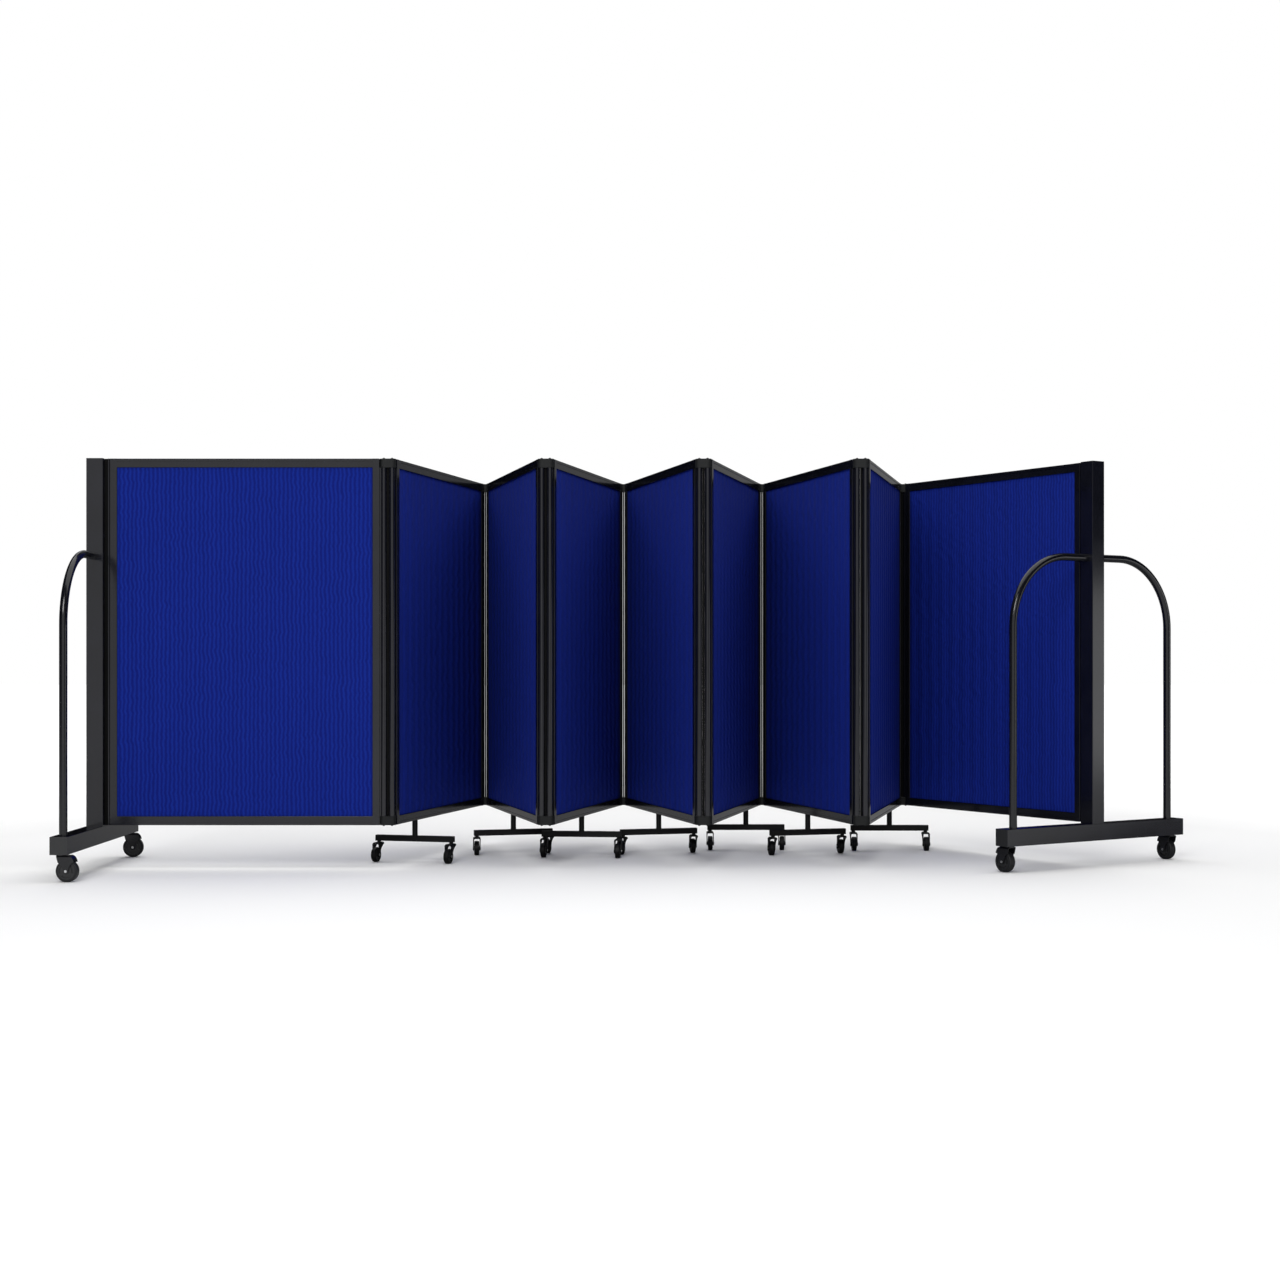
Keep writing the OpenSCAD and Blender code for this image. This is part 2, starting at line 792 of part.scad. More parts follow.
module leg_2_left_fork() leg_fork(2, false);
module leg_2_left_wheel() leg_wheel(2, false);
module leg_2_right_fork() leg_fork(2, true);
module leg_2_right_wheel() leg_wheel(2, true);
module leg_3_left_fork() leg_fork(3, false);
module leg_3_left_wheel() leg_wheel(3, false);
module leg_3_right_fork() leg_fork(3, true);
module leg_3_right_wheel() leg_wheel(3, true);
module leg_4_left_fork() leg_fork(4, false);
module leg_4_left_wheel() leg_wheel(4, false);
module leg_4_right_fork() leg_fork(4, true);
module leg_4_right_wheel() leg_wheel(4, true);
module leg_5_left_fork() leg_fork(5, false);
module leg_5_left_wheel() leg_wheel(5, false);
module leg_5_right_fork() leg_fork(5, true);
module leg_5_right_wheel() leg_wheel(5, true);
module leg_6_left_fork() leg_fork(6, false);
module leg_6_left_wheel() leg_wheel(6, false);
module leg_6_right_fork() leg_fork(6, true);
module leg_6_right_wheel() leg_wheel(6, true);
module leg_7_left_fork() leg_fork(7, false);
module leg_7_left_wheel() leg_wheel(7, false);
module leg_7_right_fork() leg_fork(7, true);
module leg_7_right_wheel() leg_wheel(7, true);
module leg_8_left_fork() leg_fork(8, false);
module leg_8_left_wheel() leg_wheel(8, false);
module leg_8_right_fork() leg_fork(8, true);
module leg_8_right_wheel() leg_wheel(8, true);

panel_1();
panel_2();
panel_3();
panel_4();
panel_5();
panel_6();
panel_7();
panel_8();
panel_9();
hinge_1_link();
hinge_2_link();
hinge_3_link();
hinge_4_link();
hinge_5_link();
hinge_6_link();
hinge_7_link();
hinge_8_link();
left_end_post();
left_base_bar();
left_arch();
right_end_post();
right_base_bar();
right_arch();
left_front_fork();
left_front_wheel();
left_back_fork();
left_back_wheel();
right_front_fork();
right_front_wheel();
right_back_fork();
right_back_wheel();
leg_2_left_fork();
leg_2_left_wheel();
leg_2_right_fork();
leg_2_right_wheel();
leg_3_left_fork();
leg_3_left_wheel();
leg_3_right_fork();
leg_3_right_wheel();
leg_4_left_fork();
leg_4_left_wheel();
leg_4_right_fork();
leg_4_right_wheel();
leg_5_left_fork();
leg_5_left_wheel();
leg_5_right_fork();
leg_5_right_wheel();
leg_6_left_fork();
leg_6_left_wheel();
leg_6_right_fork();
leg_6_right_wheel();
leg_7_left_fork();
leg_7_left_wheel();
leg_7_right_fork();
leg_7_right_wheel();
leg_8_left_fork();
leg_8_left_wheel();
leg_8_right_fork();
leg_8_right_wheel();
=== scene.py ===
# %% [markdown]
# # An accordion folding partition
# Nine fabric panels in dark aluminium frames stand in a zigzag, joined by two-pin hinges. An
# arched frame on casters holds up each end, and a T-leg with two small casters stands under each
# panel in between. The CAD model gives every rigid piece its true shape, so it is loaded first
# and never changed. This lesson adds what a CAD model lacks: the stretched fabric, the finishes,
# the light and the camera.

# %% Load the CAD frame
import json
import math

import bpy
import numpy as np
from mathutils import Matrix, Vector


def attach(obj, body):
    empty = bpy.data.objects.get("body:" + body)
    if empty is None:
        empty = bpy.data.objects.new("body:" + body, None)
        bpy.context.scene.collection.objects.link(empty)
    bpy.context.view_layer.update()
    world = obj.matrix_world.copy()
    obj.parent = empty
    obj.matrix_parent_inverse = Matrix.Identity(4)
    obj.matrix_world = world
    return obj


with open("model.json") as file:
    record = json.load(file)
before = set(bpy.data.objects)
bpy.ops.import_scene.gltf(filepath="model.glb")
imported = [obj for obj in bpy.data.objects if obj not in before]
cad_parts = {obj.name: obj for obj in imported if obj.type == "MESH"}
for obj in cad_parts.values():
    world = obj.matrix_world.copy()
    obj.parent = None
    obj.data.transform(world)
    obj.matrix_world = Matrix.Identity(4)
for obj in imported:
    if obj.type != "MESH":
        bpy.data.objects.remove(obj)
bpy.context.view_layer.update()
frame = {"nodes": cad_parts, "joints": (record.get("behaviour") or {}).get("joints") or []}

# %% [markdown]
# The fabric and the masks for the finishes follow each panel's own line on the floor. A panel's
# line runs from one hinge pin to the next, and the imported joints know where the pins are. That is
# safer than copying coordinates by hand, because a moved hinge moves everything that hangs on it.

# %% Find the panels' lines from the joints
MM = 0.001
joints = {j["name"]: j for j in frame["joints"]}


def floor_point(joint):
    """The point of the floor under a joint."""
    x, y, _ = joints[joint]["pos_m"]
    return Vector((x, y, 0))


def pin(hinge, side):
    """The floor point under one of a hinge's two pins."""
    return floor_point(f"hinge_{hinge}_{side}_pin")


def post(side):
    """The floor point under an end post, midway between its two casters."""
    return (floor_point(f"{side}_front_swivel") + floor_point(f"{side}_back_swivel")) / 2


panels, hinges = range(1, 10), range(1, 9)
pin_to_fabric = 27 * MM
fabric_width, fabric_height = 632 * MM, 863.5 * MM
panel_bottom, panel_top = 108.5 * MM, 1016 * MM
rail_height, block_height = 22 * MM, 22 * MM
board_half, frame_half = 6 * MM, 9.5 * MM


def panel_line(i):
    """The floor point under the fabric's left edge, and the panel's direction."""
    left = pin(i - 1, "right") if i > 1 else post("left")
    right = pin(i, "left") if i < panels[-1] else post("right")
    along = (right - left).normalized()
    if i == 1:
        return right - along * (pin_to_fabric + fabric_width), along
    return left + along * pin_to_fabric, along


for i in panels:
    start, along = panel_line(i)
    print(f"panel {i}: heading {math.degrees(math.atan2(along.y, along.x)):.1f} degrees")

# %% [markdown]
# A finish is a material: a Principled shader whose colour, gloss and tiny relief come from
# patterns that Blender computes. Hex colours are written for screens, so one function turns them
# into the linear light values that the shader works in. One more adds a node with its settings
# and links, and a third starts a finish with the numbers that are the same all over it.

# %% Helpers for every finish
def linear(hex_colour):
    """An sRGB hex colour as linear red, green, blue and alpha."""
    channels = [int(hex_colour[k:k + 2], 16) / 255 for k in (1, 3, 5)]
    return (*[c / 12.92 if c <= 0.04045 else ((c + 0.055) / 1.055) ** 2.4 for c in channels], 1)


def add(tree, kind, feeds=None, **settings):
    """Adds a node with its settings. Each feed is a plain value or another node's output."""
    made = tree.nodes.new("ShaderNode" + kind)
    for name, value in settings.items():
        setattr(made, name, value)
    for name, value in (feeds or {}).items():
        if isinstance(value, bpy.types.NodeSocket):
            tree.links.new(value, made.inputs[name])
        else:
            made.inputs[name].default_value = value
    return made


def new_finish(name, **flat):
    """An empty finish with its flat numbers set on the shader, and its node tree."""
    finish = bpy.data.materials.new(name)
    finish.use_nodes = True
    shader = finish.node_tree.nodes["Principled BSDF"]
    for socket, value in flat.items():
        shader.inputs[socket.replace("_", " ")].default_value = value
    return finish, finish.node_tree, shader


print("linear value of mid grey #808080:", round(linear("#808080")[0], 4))

# %% [markdown]
# ## Panel fabric
# The boards are wrapped in royal blue polyester panel cloth, woven with soft upright ribs that
# waver a little, about one every 10 mm. The ribs could be modelled as geometry, but each stands
# out only a few tenths of a millimetre, so a pattern that shades and lifts the surface looks the
# same and costs nothing. A wave pattern makes the ribs, noise bends them, and a finer noise
# stands for the yarns, which are drawn coarser than the real 0.5 mm so that they show. The folded
# panels also show upright streaks, which fine ribs seen at a slant make in a picture. A second
# wave, 43 mm wide and very low, stands in for them, as if the cloth were a little slack: it
# hardly shows straight on.

# %% Woven polyester panel cloth
def woven_polyester():
    """The panel cloth, with ribs, yarns, patches and the low wave."""
    finish, tree, shader = new_finish(
        "polyester_panel_cloth_woven", Roughness=0.9, Specular_IOR_Level=0.06,
        Sheen_Weight=0.02, Sheen_Roughness=0.5, Sheen_Tint=linear("#5A78E0"))
    rib, slack, yarn, patch = 10.4 * MM, 43 * MM, 1.4 * MM, 90 * MM
    stripe = 2 * math.pi / 20  # a wave's stripe repeats every 2 pi / 20 of its scale
    pull_across, pull_up = 120 * MM, 22 * MM
    rib_reach, slack_reach = 9 * MM, 30 * MM
    place = add(tree, "TexCoord").outputs["Object"]
    # The cloth's pull bends the ribs in step with each other
    pulled = add(tree, "Mapping", {"Vector": place, "Scale": (1 / pull_across, 1, 1 / pull_up)})
    pull = add(tree, "TexNoise", {"Vector": pulled.outputs["Vector"], "Scale": 1.0, "Detail": 1.0})

    def wandering(reach):
        """The place on the cloth, pushed sideways by the pull."""
        push = add(tree, "Math", {0: pull.outputs["Fac"], 1: reach}, operation="MULTIPLY")
        sideways = add(tree, "CombineXYZ", {"X": push.outputs[0]})
        moved = add(tree, "VectorMath", {0: place, 1: sideways.outputs[0]}, operation="ADD")
        return moved.outputs[0]

    ribs = add(tree, "TexWave", {"Vector": wandering(rib_reach), "Scale": stripe / rib,
                                 "Distortion": 2.0, "Detail": 2.0, "Detail Scale": 1.6,
                                 "Detail Roughness": 0.6},
               wave_type="BANDS", bands_direction="X", wave_profile="SIN")
    yarns = add(tree, "TexNoise", {"Vector": place, "Scale": 1 / yarn, "Detail": 2.0})
    patches = add(tree, "TexNoise", {"Vector": place, "Scale": 1 / patch, "Detail": 3.0})
    relief = add(tree, "Math", {0: ribs.outputs["Fac"], 1: yarns.outputs["Fac"]},
                 operation="MULTIPLY")
    colour = add(tree, "ValToRGB", {"Fac": relief.outputs[0]})
    colour.color_ramp.elements[0].color = linear("#0D1B6C")
    colour.color_ramp.elements[0].position = 0.08
    colour.color_ramp.elements[1].color = linear("#132A88")
    colour.color_ramp.elements[1].position = 0.62
    shade = add(tree, "MapRange", {"Value": patches.outputs["Fac"], "To Min": 0.95, "To Max": 1.05})
    mixed = add(tree, "HueSaturation", {"Color": colour.outputs["Color"],
                                        "Value": shade.outputs[0]})
    tree.links.new(mixed.outputs["Color"], shader.inputs["Base Color"])
    lift = add(tree, "Bump", {"Height": relief.outputs[0], "Strength": 0.45, "Distance": 0.5 * MM})
    waves = add(tree, "TexWave", {"Vector": wandering(slack_reach), "Scale": stripe / slack,
                                  "Distortion": 1.0, "Detail": 1.0, "Detail Scale": 2.0,
                                  "Detail Roughness": 0.5},
                wave_type="BANDS", bands_direction="X", wave_profile="SIN")
    slacken = add(tree, "Bump", {"Height": waves.outputs["Fac"], "Normal": lift.outputs["Normal"],
                                 "Strength": 1.0, "Distance": 1.9 * MM})
    tree.links.new(slacken.outputs["Normal"], shader.inputs["Normal"])
    return finish


cloth = woven_polyester()
print("made", cloth.name)

# %% [markdown]
# ## Powder-coated aluminium
# The panel frames, posts and base bars are aluminium extrusions with a gloss black powder coat.
# The powder melts into a smooth skin that mirrors the studio softly, with a very faint orange
# peel in waves about 1.5 mm apart. The coat is a plastic, so it isn't metallic and its IOR is a
# resin's. The steel arches and the forks of the end casters are nearly as glossy, and the T-legs
# and the forks under them have a matt coat.

# %% Powder coats in gloss and matt
def powder_coat(name, dark, light, roughness, shine):
    """A powder coat between two blacks, with faint orange peel."""
    finish, tree, shader = new_finish(name, IOR=1.5, Metallic=0.0, Specular_IOR_Level=shine)
    orange_peel, handled_patch, unevenness = 1.5 * MM, 60 * MM, 0.03
    place = add(tree, "TexCoord").outputs["Object"]
    peel = add(tree, "TexNoise", {"Vector": place, "Scale": 1 / orange_peel, "Detail": 2.0})
    handling = add(tree, "TexNoise", {"Vector": place, "Scale": 1 / handled_patch, "Detail": 4.0})
    colour = add(tree, "ValToRGB", {"Fac": handling.outputs["Fac"]})
    colour.color_ramp.elements[0].color = linear(dark)
    colour.color_ramp.elements[0].position = 0.3
    colour.color_ramp.elements[1].color = linear(light)
    colour.color_ramp.elements[1].position = 0.7
    tree.links.new(colour.outputs["Color"], shader.inputs["Base Color"])
    rough = add(tree, "MapRange", {"Value": handling.outputs["Fac"],
                                   "To Min": roughness - unevenness,
                                   "To Max": roughness + unevenness})
    tree.links.new(rough.outputs[0], shader.inputs["Roughness"])
    lift = add(tree, "Bump", {"Height": peel.outputs["Fac"], "Strength": 0.01,
                              "Distance": 0.05 * MM})
    tree.links.new(lift.outputs["Normal"], shader.inputs["Normal"])
    return finish


frame_coat = powder_coat("aluminium_powder_coated_gloss_black", "#0C0D14", "#11121A", 0.14, 0.42)
bar_coat = powder_coat("steel_powder_coated_gloss_black", "#0B0C11", "#0F1015", 0.16, 0.4)
leg_coat = powder_coat("steel_powder_coated_matt_black", "#060607", "#0A0A0B", 0.5, 0.2)
print("made", frame_coat.name, bar_coat.name, leg_coat.name)

# %% [markdown]
# ## Moulded plastics, rubber and plated steel
# The hinge blocks are moulded nylon with a fine spark-eroded grain, about 0.4 mm, drawn at 0.8 mm
# so that it shows. The end casters' wheels have a polyurethane tread on a polypropylene centre,
# and the small wheels under the T-legs are nylon drawn much darker, as painted shade for the shade
# under the panels. The strips at the end posts are vinyl drawn near pure black, as painted shade
# for the shadowed gap between post and panel, and the seals in the hinges rubber. The axle ends
# are zinc-plated steel: a real metal, so it keeps the default IOR.

# %% Moulded plastics and rubber
def moulded(name, dark, light, roughness, grain, lift_strength, shine=0.5):
    """A moulded or extruded plastic or rubber, with grains of one size."""
    finish, tree, shader = new_finish(name, IOR=1.53, Specular_IOR_Level=shine)
    unevenness = 0.08
    place = add(tree, "TexCoord").outputs["Object"]
    grains = add(tree, "TexNoise", {"Vector": place, "Scale": 1 / grain, "Detail": 3.0})
    colour = add(tree, "ValToRGB", {"Fac": grains.outputs["Fac"]})
    colour.color_ramp.elements[0].color = linear(dark)
    colour.color_ramp.elements[0].position = 0.35
    colour.color_ramp.elements[1].color = linear(light)
    colour.color_ramp.elements[1].position = 0.65
    tree.links.new(colour.outputs["Color"], shader.inputs["Base Color"])
    rough = add(tree, "MapRange", {"Value": grains.outputs["Fac"],
                                   "To Min": roughness - unevenness,
                                   "To Max": roughness + unevenness})
    tree.links.new(rough.outputs[0], shader.inputs["Roughness"])
    lift = add(tree, "Bump", {"Height": grains.outputs["Fac"], "Strength": lift_strength,
                              "Distance": 0.1 * MM})
    tree.links.new(lift.outputs["Normal"], shader.inputs["Normal"])
    return finish


hinge_nylon = moulded("nylon_moulded_grained", "#0D0F10", "#131516", 0.6, 0.8 * MM, 0.5, 0.22)
tread_plastic = moulded("polyurethane_tread_moulded", "#131417", "#191A1D", 0.55, 2.0 * MM, 0.2,
                        0.3)
# Painted shade: the small wheels under the T-legs are drawn much darker than the end wheels
leg_wheel_painted_shade = moulded("nylon_wheel_painted_shade", "#070709", "#0B0B0D", 0.5, 2.0 * MM, 0.2, 0.2)
hub_plastic = moulded("polypropylene_wheel_moulded", "#151618", "#1A1B1E", 0.45, 1.5 * MM, 0.15)
# Near pure black: the vinyl strip also carries painted shade for the gap between post and panel
strip_vinyl_painted_shade = moulded("vinyl_strip_painted_shade", "#030303", "#050505", 0.7, 1.0 * MM, 0.1, 0.1)
seal_rubber = moulded("rubber_seal_extruded", "#020202", "#040404", 0.75, 1.0 * MM, 0.1, 0.1)
print("made", hinge_nylon.name, tread_plastic.name, leg_wheel_painted_shade.name, hub_plastic.name,
      strip_vinyl_painted_shade.name, seal_rubber.name)

# %% Zinc plate
def zinc_plate():
    """Bright zinc with small spangles."""
    finish, tree, shader = new_finish("steel_zinc_plated", Metallic=1.0)
    spangle_size = 0.9 * MM
    place = add(tree, "TexCoord").outputs["Object"]
    spangle = add(tree, "TexNoise", {"Vector": place, "Scale": 1 / spangle_size, "Detail": 2.0})
    colour = add(tree, "ValToRGB", {"Fac": spangle.outputs["Fac"]})
    colour.color_ramp.elements[0].color = linear("#B9BBBD")
    colour.color_ramp.elements[1].color = linear("#DADBDC")
    tree.links.new(colour.outputs["Color"], shader.inputs["Base Color"])
    rough = add(tree, "MapRange", {"Value": spangle.outputs["Fac"], "To Min": 0.25, "To Max": 0.4})
    tree.links.new(rough.outputs[0], shader.inputs["Roughness"])
    return finish


zinc = zinc_plate()
print("made", zinc.name)

# %% [markdown]
# ## Dressing the CAD pieces
# One CAD node can hold pieces of more than one material: a panel holds its frame, its board and
# its T-leg. The mesh stays as it is, and each face is given a material by where its middle lies.
# A hair's breadth of 0.1 mm keeps faces that lie on a limit on the right side of it.

# %% Sort faces by where they lie
def middles(name):
    """The middle of each face of a CAD node, one row a face."""
    faces = frame["nodes"][name].data.polygons
    flat = np.empty(len(faces) * 3)
    faces.foreach_get("center", flat)
    return flat.reshape(-1, 3)


def dress(name, finishes, choice=None):
    """Puts finishes on a CAD node, and says which of them each face takes."""
    mesh = frame["nodes"][name].data
    mesh.materials.clear()
    for finish in finishes:
        mesh.materials.append(finish)
    if choice is None:
        choice = np.zeros(len(mesh.polygons))
    mesh.polygons.foreach_set("material_index", choice.astype(np.int32))
    mesh.update()


def from_line(points, start, along):
    """How far points lie along a line on the floor, and to the side of it."""
    side = Vector((-along.y, along.x, 0))
    apart = points - np.array(start)
    return apart @ np.array(along), apart @ np.array(side)


print("faces on panel 1:", len(middles("panel_1")))

# %% Dress the panels and the hinges
hair = 0.1 * MM
seat = 8 * MM + hair  # the board's edge sits this deep in the frame's channel
seal_half = 4 * MM
for i in panels:
    start, along = panel_line(i)
    spots = middles(f"panel_{i}")
    run, off = from_line(spots, start, along)
    height = spots[:, 2]
    on_board = ((abs(off) < board_half + hair) & (run > -seat) & (run < fabric_width + seat)
                & (height > panel_bottom + rail_height - seat)
                & (height < panel_bottom + rail_height + fabric_height + seat))
    on_leg = height < panel_bottom - hair
    dress(f"panel_{i}", [frame_coat, cloth, leg_coat],
          np.where(on_leg, 2, np.where(on_board, 1, 0)))
for i in hinges:
    spots = middles(f"hinge_{i}_link")
    run, off = from_line(spots, (pin(i, "left") + pin(i, "right")) / 2, Vector((1, 0, 0)))
    near_middle = np.hypot(run, off) < seal_half
    between_blocks = (spots[:, 2] > panel_bottom + block_height + hair) & (
        spots[:, 2] < panel_top - block_height - hair)
    dress(f"hinge_{i}_link", [hinge_nylon, seal_rubber], near_middle & between_blocks)
print("dressed the panels and the hinges")

# %% [markdown]
# The end posts carry the strip that joins them to their panel, a vinyl drawn near pure black as
# painted shade for the shadowed gap there, and the base bars are closed by moulded plugs at both
# ends.

# %% Dress the end frames
half_post, half_bar, plug_depth = 20.5 * MM, 310 * MM, 0.5 * MM
for side, i in (("left", 1), ("right", 9)):
    _, along = panel_line(i)
    along = along if side == "left" else -along
    run, _ = from_line(middles(f"{side}_end_post"), post(side), along)
    # The strip's faces take the near-black vinyl: painted shade for the shadowed gap
    dress(f"{side}_end_post", [frame_coat, strip_vinyl_painted_shade], run > half_post + hair)
    _, off = from_line(middles(f"{side}_base_bar"), post(side), along)
    dress(f"{side}_base_bar", [frame_coat, hub_plastic], abs(off) > half_bar - plug_depth)
    dress(f"{side}_arch", [bar_coat])
print("dressed the end frames")

# %% [markdown]
# Each caster is a fork and a wheel. On a fork, the faces close to the axle's line and furthest
# out along it are the axle's ends, which are plated. On a wheel, the faces nearer the axle are
# its centre and the rest is its tread. The joints say where each axle is and which way it points.

# %% Dress the casters
axle_reach, axle_end, centre_share = 3.1 * MM, 1.1 * MM, 0.76
casters = [name.removesuffix("_fork") for name in frame["nodes"] if name.endswith("_fork")]
for caster in casters:
    spin = joints[f"{caster}_spin"]
    centre, axle = np.array(spin["pos_m"]), np.array(spin["axis"])
    small = caster.startswith("leg_")
    for piece in ("fork", "wheel"):
        apart = middles(f"{caster}_{piece}") - centre
        out = abs(apart @ axle)
        radius = np.linalg.norm(apart - np.outer(apart @ axle, axle), axis=1)
        if piece == "fork":
            near = radius < axle_reach
            dress(f"{caster}_fork", [leg_coat if small else bar_coat, zinc],
                  near & (out > out[near].max() - axle_end))
        else:
            # The wheels under the T-legs take the darker plastic: painted shade
            dress(f"{caster}_wheel", [leg_wheel_painted_shade if small else tread_plastic, hub_plastic],
                  radius < centre_share * radius.max())
print("dressed", len(casters), "casters")

# %% [markdown]
# ## The fabric on the boards
# The cloth is stretched over each board and tucked into the frame, so it is flat in the middle
# and dips at the edges. A cloth simulation would only find that flat again, so a fine grid is
# pushed out by a formula instead. Each panel gets one cloth in front and one behind.

# %% Stretch a cloth over each side of each board
columns, rows = 80, 110
tuck, crown, off_board = 7 * MM, 0.7 * MM, 0.12 * MM


def edge_steps(length, count):
    """Places along an edge, closer together near both ends."""
    return [length * (1 - math.cos(math.pi * k / count)) / 2 for k in range(count + 1)]


def stretched_cloth(i, side):
    """The cloth on the front (-1) or back (1) of panel i."""
    points = []
    for z in edge_steps(fabric_height, rows):
        for x in edge_steps(fabric_width, columns):
            inside = min(x, fabric_width - x, z, fabric_height - z)
            stand = board_half + off_board + crown * (1 - math.exp(-inside / tuck))
            points.append((x, side * stand, z))
    faces = []
    for r in range(rows):
        for c in range(columns):
            a = r * (columns + 1) + c
            quad = (a, a + 1, a + columns + 2, a + columns + 1)
            faces.append(quad if side < 0 else quad[::-1])
    mesh = bpy.data.meshes.new("cloth")
    mesh.from_pydata(points, [], faces)
    mesh.materials.append(cloth)
    mesh.polygons.foreach_set("use_smooth", [True] * len(faces))
    name = f"panel_{i}_cloth_{'front' if side < 0 else 'back'}"
    piece = bpy.data.objects.new(name, mesh)
    bpy.context.scene.collection.objects.link(piece)
    start, along = panel_line(i)
    piece.matrix_world = (Matrix.Translation((start.x, start.y, panel_bottom + rail_height))
                          @ Matrix.Rotation(math.atan2(along.y, along.x), 4, "Z"))
    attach(piece, f"panel_{i}")
    return piece


cloths = [stretched_cloth(i, side) for i in panels for side in (-1, 1)]
print("made", len(cloths), "cloths of", columns * rows, "faces")

# %% [markdown]
# ## Floor, light and camera
# The partition stands on a plain white floor under soft studio light. The light comes mostly from
# the camera's side, so the panel that faces the camera is the brightest and the folded ones are
# darker. The world shows white where the floor ends, fills the shadows a little, and is nearly
# black to the glossy frames, as a studio's dark walls are. A real floor can't look white to the
# camera and dark in a reflection: this one does, because a Light Path node tells it which kind of
# ray asks.

# %% Lay the floor
floor_side, floor_front, floor_back = 30, -12, 40
# Painted reflection: between these depths the floor's colour is painted darker for glossy rays only
painted_reflection_front, painted_reflection_back, painted_reflection_dim = -0.5, -0.2, 0.25
glow_start, glow_full = 2.0, 6.0
floor_mesh = bpy.data.meshes.new("floor")
floor_mesh.from_pydata([(-floor_side, floor_front, 0), (floor_side, floor_front, 0),
                        (floor_side, floor_back, 0), (-floor_side, floor_back, 0)],
                       [], [(0, 1, 2, 3)])
paper, paper_tree, paper_shader = new_finish("paper_backdrop_matt", Roughness=0.9,
                                             Specular_IOR_Level=0.1)
floor_place = add(paper_tree, "TexCoord").outputs["Object"]
fibre = 4 * MM
fibres = add(paper_tree, "TexNoise", {"Vector": floor_place, "Scale": 1 / fibre, "Detail": 2.0})
paper_colour = add(paper_tree, "ValToRGB", {"Fac": fibres.outputs["Fac"]})
paper_colour.color_ramp.elements[0].color = linear("#F3F3F3")
paper_colour.color_ramp.elements[1].color = linear("#F8F8F8")
floor_rays = add(paper_tree, "LightPath").outputs
# Painted reflection: glossy rays find the floor's colour painted dark behind the front hinges
depth = add(paper_tree, "SeparateXYZ", {"Vector": floor_place}).outputs["Y"]
painted_reflection_fade = add(paper_tree, "MapRange", {"Value": depth, "From Min": painted_reflection_front,
                                       "From Max": painted_reflection_back, "To Min": 1.0,
                                       "To Max": painted_reflection_dim})
painted_reflection_value = add(paper_tree, "MapRange", {"Value": floor_rays["Is Glossy Ray"], "To Min": 1.0,
                                      "To Max": painted_reflection_fade.outputs[0]})
paper_mixed = add(paper_tree, "HueSaturation", {"Color": paper_colour.outputs["Color"],
                                                "Value": painted_reflection_value.outputs[0]})
paper_tree.links.new(paper_mixed.outputs["Color"], paper_shader.inputs["Base Color"])
from_middle = add(paper_tree, "VectorMath", {0: floor_place}, operation="LENGTH")
far_glow = add(paper_tree, "MapRange", {"Value": from_middle.outputs["Value"],
                                        "From Min": glow_start, "From Max": glow_full})
# The glow whitens the floor's far edge in the picture, and gives the gloss nothing to mirror
seen_glow = add(paper_tree, "Math", {0: far_glow.outputs[0], 1: floor_rays["Is Camera Ray"]},
                operation="MULTIPLY")
paper_tree.links.new(seen_glow.outputs[0], paper_shader.inputs["Emission Strength"])
paper_shader.inputs["Emission Color"].default_value = (1, 1, 1, 1)
floor_mesh.materials.append(paper)
floor = bpy.data.objects.new("floor", floor_mesh)
bpy.context.scene.collection.objects.link(floor)
print("laid a floor of", 2 * floor_side, "by", floor_back - floor_front, "m")

# %% [markdown]
# The softboxes stand where the frames' tones ask for them: the key in front on the left, a broad
# one in front, one above, one behind that lights the floor, and a low one on the right for the
# faces of the right end frame. They were placed by trial, since the picture doesn't show its
# studio.

# %% Set the lights
def softbox(name, place, aim, width, height, watts):
    """A rectangular lamp at a place, turned towards a point."""
    lamp = bpy.data.lights.new(name, "AREA")
    lamp.shape, lamp.size, lamp.size_y, lamp.energy = "RECTANGLE", width, height, watts
    held = bpy.data.objects.new(name, lamp)
    held.location = place
    held.rotation_euler = (Vector(aim) - Vector(place)).to_track_quat("-Z", "Y").to_euler()
    bpy.context.scene.collection.objects.link(held)
    return held


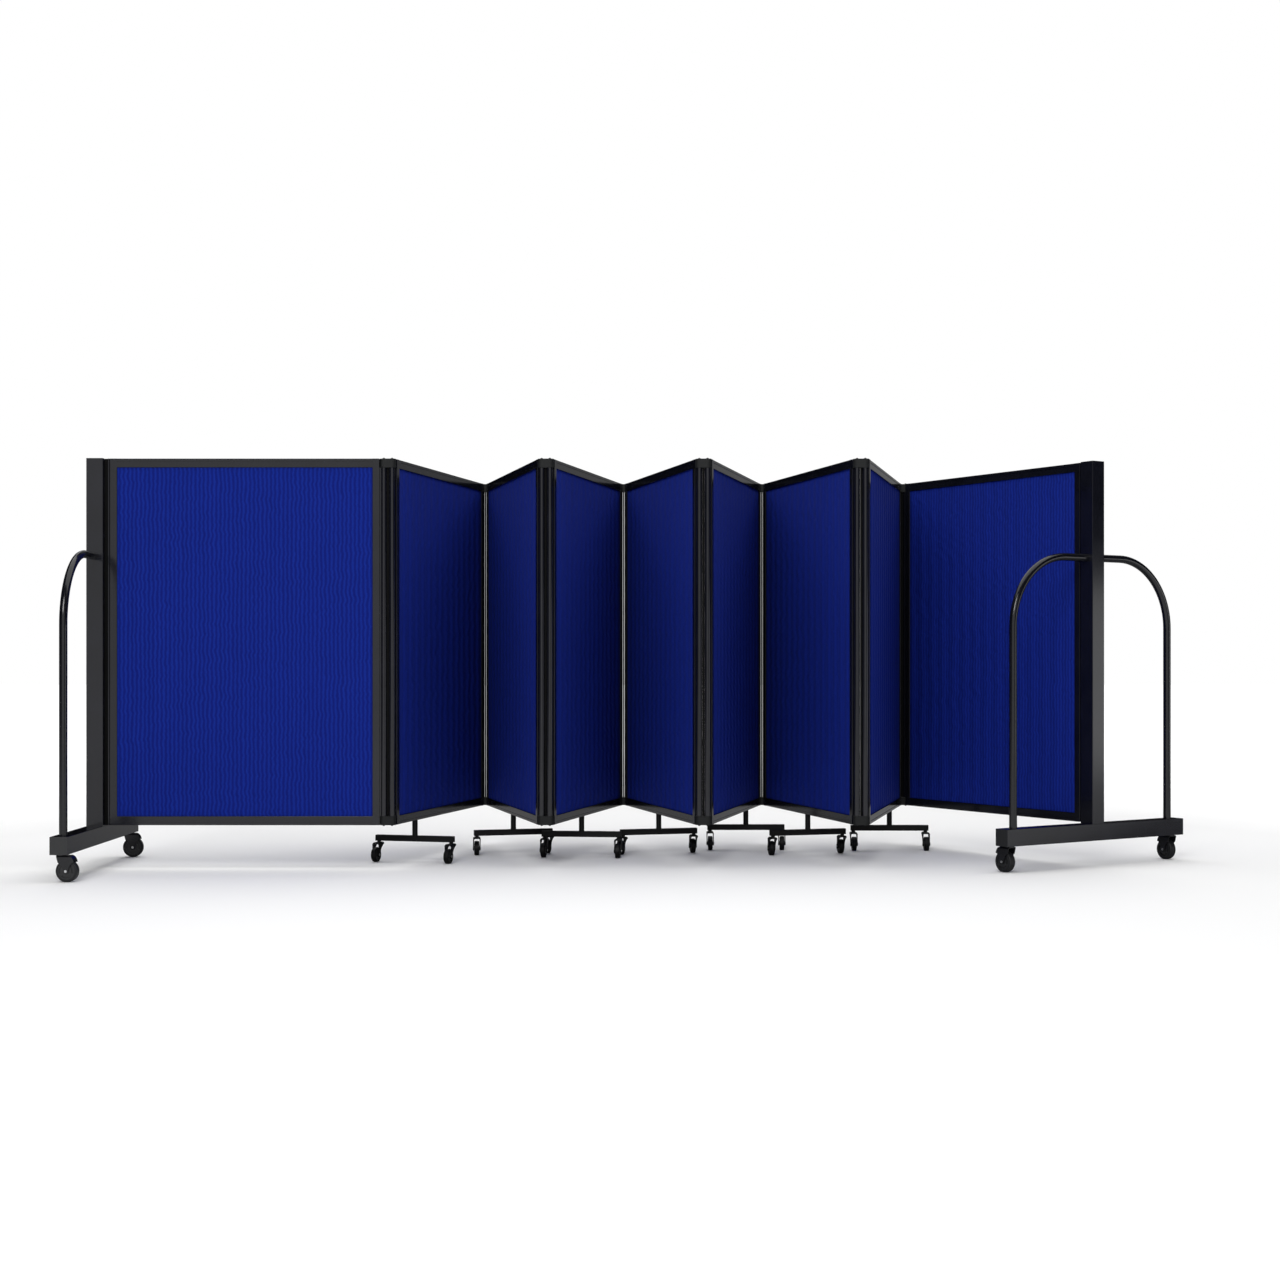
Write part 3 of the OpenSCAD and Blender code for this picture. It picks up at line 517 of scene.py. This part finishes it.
softbox("key_softbox", (-1.0, -5.5, 3.6), (0.0, 0.1, 0.5), 2.4, 2.0, 146)
softbox("front_softbox", (0.0, -6.4, 1.4), (0.0, 0.1, 0.6), 9.0, 4.0, 108)
softbox("top_softbox", (0.2, 0.2, 4.2), (0.2, 0.2, 0.0), 7.0, 5.0, 192)
softbox("back_softbox", (0.0, 2.4, 2.6), (0.0, 1.0, 0.0), 5.0, 1.5, 30)
softbox("low_right_softbox", (5.5, -1.3, 0.45), (1.2, 0.1, 0.4), 2.5, 0.9, 13)
# A card behind on the right, which only the gloss mirrors, draws the top rails that face it
card = softbox("back_right_card", (1.9, 3.6, 1.55), (0.3, 0.0, 1.0), 2.6, 1.6, 3.0)
card.visible_diffuse = card.visible_camera = False
print("set five softboxes and a card")

# %% Fill the world with white
world_to_gloss, world_to_matt = 0.002, 0.2
world = bpy.data.worlds.new("white_studio")
world.use_nodes = True
bpy.context.scene.world = world
sky = world.node_tree.nodes["Background"]
sky.inputs["Color"].default_value = (1, 1, 1, 1)
path = add(world.node_tree, "LightPath")
fill = add(world.node_tree, "MapRange", {"Value": path.outputs["Is Diffuse Ray"],
                                         "To Min": world_to_gloss, "To Max": world_to_matt})
strength = add(world.node_tree, "Math", {0: fill.outputs[0], 1: path.outputs["Is Camera Ray"]},
               operation="MAXIMUM")
world.node_tree.links.new(strength.outputs[0], sky.inputs["Strength"])
print("made the world", world.name)

# %% [markdown]
# The camera stands 4.85 m in front at half the partition's height and looks straight ahead, so
# that upright edges stay upright. A small shift lowers the partition in the picture without
# tilting it.

# %% Place the camera
camera_data = bpy.data.cameras.new("camera")
camera_data.sensor_width, camera_data.lens = 36, 52.96
camera_data.shift_y = 0.0184
camera = bpy.data.objects.new("camera", camera_data)
camera.location = (-0.021, -4.8518, 0.5086)
camera.rotation_euler = (math.radians(90), 0, 0)
bpy.context.scene.collection.objects.link(camera)
bpy.context.scene.camera = camera
bpy.context.scene.view_settings.view_transform = "Standard"
bpy.context.scene.view_settings.look = "None"
print("camera", round(camera_data.lens, 1), "mm at", tuple(camera.location))
